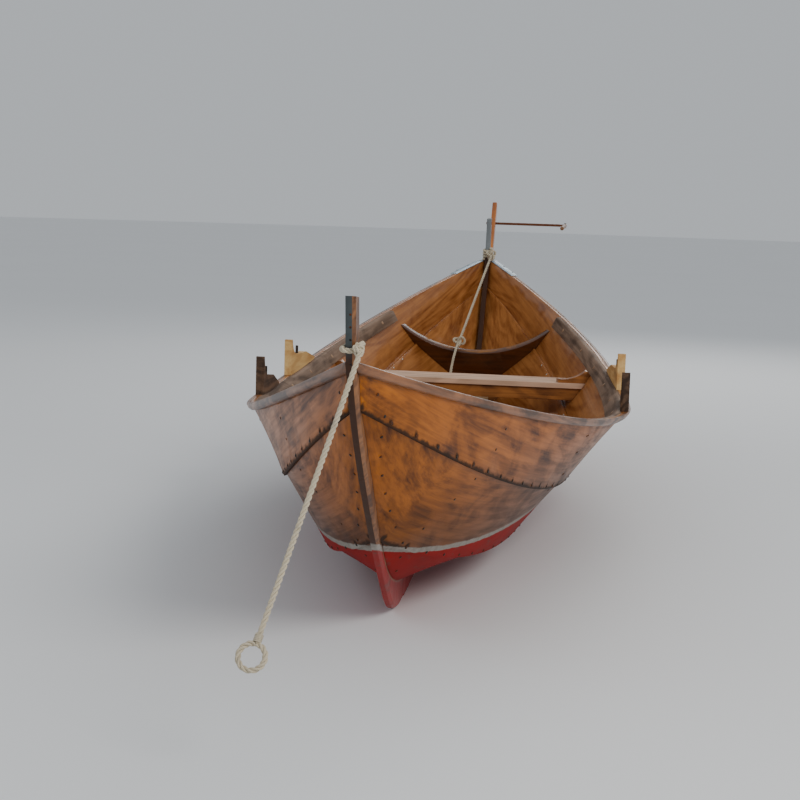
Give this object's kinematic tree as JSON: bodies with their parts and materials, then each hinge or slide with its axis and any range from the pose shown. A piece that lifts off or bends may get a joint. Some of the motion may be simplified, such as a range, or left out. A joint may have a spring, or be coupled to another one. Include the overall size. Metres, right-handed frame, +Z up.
{
  "type": "clinker rowing boat",
  "caption": "Double-ended clinker-built open wooden rowing boat with thwarts, wooden rowlocks, a hung rudder with a side-arm tiller, a bow painter and a stern line.",
  "frame": {"origin": "underside of the keel amidships, on the centreline", "axes": "+X to port, +Y aft along the keel, +Z up; the bow is at -Y"},
  "size_m": [1.476, 5.8901, 1.2472],
  "materials": {
    "varnished_planking": "old glossy varnish, red bottom paint along the keel",
    "backbone_timber": "dark varnished and weathered",
    "outer_rail_timber": "worn varnish, greyed along the top",
    "inner_rail_timber": "weathered, matt",
    "bare_pine": "bare, sun-bleached",
    "floorboard_pine": "worn, matt",
    "end_frame_timber": "dark varnish",
    "frame_timber": "varnished",
    "weathered_block": "weathered dark",
    "new_pine": "new bare wood",
    "dark_pegs": "tarred",
    "rudder_timber": "bright varnish",
    "tiller_timber": "oiled",
    "dark_iron": "dark forged, lightly rusted",
    "galvanised_plate": "dull galvanised",
    "plug_timber": "bare turned wood",
    "iron_fastenings": "dark, rust-stained",
    "bright_roves": "bright",
    "cream_rope": "three-strand natural fibre"
  },
  "bodies": {
    "hull": {"aft_crossbeam": "frame_timber", "aft_floor_timber": "frame_timber", "aft_floorboards": "floorboard_pine", "aft_knees": "frame_timber", "aft_rowlock_block_port": "new_pine", "aft_rowlock_block_starboard": "new_pine", "aft_thwart": "bare_pine", "bow_floor_timber": "frame_timber", "bow_frame": "end_frame_timber", "bow_stem": "backbone_timber", "forward_crossbeam": "frame_timber", "forward_floor_timber": "frame_timber", "forward_floorboards": "floorboard_pine", "forward_knees": "frame_timber", "forward_rowlock_block_port": "weathered_block", "forward_rowlock_block_starboard": "weathered_block", "forward_thwart": "bare_pine", "garboard_strake_port": "varnished_planking", "garboard_strake_starboard": "varnished_planking", "gudgeons": "dark_iron", "inner_rail_port": "inner_rail_timber", "inner_rail_starboard": "inner_rail_timber", "keel": "backbone_timber", "lap_rivet_heads": "iron_fastenings", "lap_rivet_roves": "bright_roves", "middle_crossbeam": "frame_timber", "middle_floor_timber": "frame_timber", "middle_knees": "frame_timber", "middle_strake_port": "varnished_planking", "middle_strake_starboard": "varnished_planking", "middle_thwart": "bare_pine", "outer_rail_port": "outer_rail_timber", "outer_rail_starboard": "outer_rail_timber", "painter": "cream_rope", "painter_eye": "cream_rope", "painter_hitch": "cream_rope", "rowlock_pegs": "dark_pegs", "sheer_strake_port": "varnished_planking", "sheer_strake_starboard": "varnished_planking", "stem_nails": "iron_fastenings", "stern_floor_timber": "frame_timber", "stern_floorboards": "floorboard_pine", "stern_frame": "end_frame_timber", "stern_lashing": "cream_rope", "stern_line": "cream_rope", "stern_line_coil": "cream_rope", "stern_line_end": "cream_rope", "stern_line_knot": "cream_rope", "stern_plate_port": "galvanised_plate", "stern_plate_starboard": "galvanised_plate", "stern_stem": "backbone_timber"},
    "rudder": {"rudder": "rudder_timber", "pintles": "dark_iron", "tiller_arm": "dark_iron", "tiller_pin": "dark_iron"},
    "tiller": {"tiller": "tiller_timber"},
    "drain_plug": {"drain_plug": "plug_timber"}
  },
  "joints": [
    {"name": "rudder_swing", "type": "hinge", "parent": "hull", "child": "rudder", "pos_m": [0, 2.00394, 0.32073], "axis": [0, 0.6968, 0.7173], "range_deg": [-35, 35]},
    {"name": "tiller_pivot", "type": "hinge", "parent": "rudder", "child": "tiller", "pos_m": [0.41, 2.85412, 1.127], "axis": [0, 0, 1], "range_deg": [-35, 75]},
    {"name": "drain_plug_pull", "type": "slide", "parent": "hull", "child": "drain_plug", "axis": [0, 0, 1], "range_m": [0, 0.06]}
  ]
}
